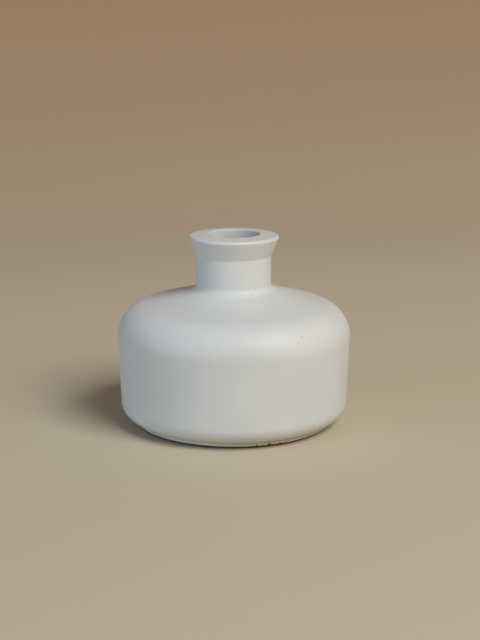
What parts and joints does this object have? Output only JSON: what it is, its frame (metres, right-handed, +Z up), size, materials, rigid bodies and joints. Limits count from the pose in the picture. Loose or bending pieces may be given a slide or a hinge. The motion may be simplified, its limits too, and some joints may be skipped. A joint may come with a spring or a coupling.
{
  "type": "bottle vase",
  "caption": "Squat white cast bottle vase with a sloping shoulder, collared neck and flared rim, on a low felted foot, with a lift-out glass water tube inside.",
  "frame": {"origin": "on the vase's axis, at the surface that it stands on", "axes": "+Z up along the axis, out of the mouth; -Y towards the camera of the picture"},
  "size_m": [0.11, 0.11, 0.0906],
  "materials": {
    "casting": "matte",
    "base_casting": "matte",
    "felt": "matte",
    "glass": "polished"
  },
  "bodies": {
    "vase": {"jar_shell": "casting", "base_disc": "base_casting", "felt_pad": "felt"},
    "tube": {"water_tube": "glass"}
  },
  "joints": [
    {"name": "tube_lift", "type": "slide", "parent": "vase", "child": "tube", "axis": [0, 0, 1], "range_m": [0, 0.09]}
  ]
}
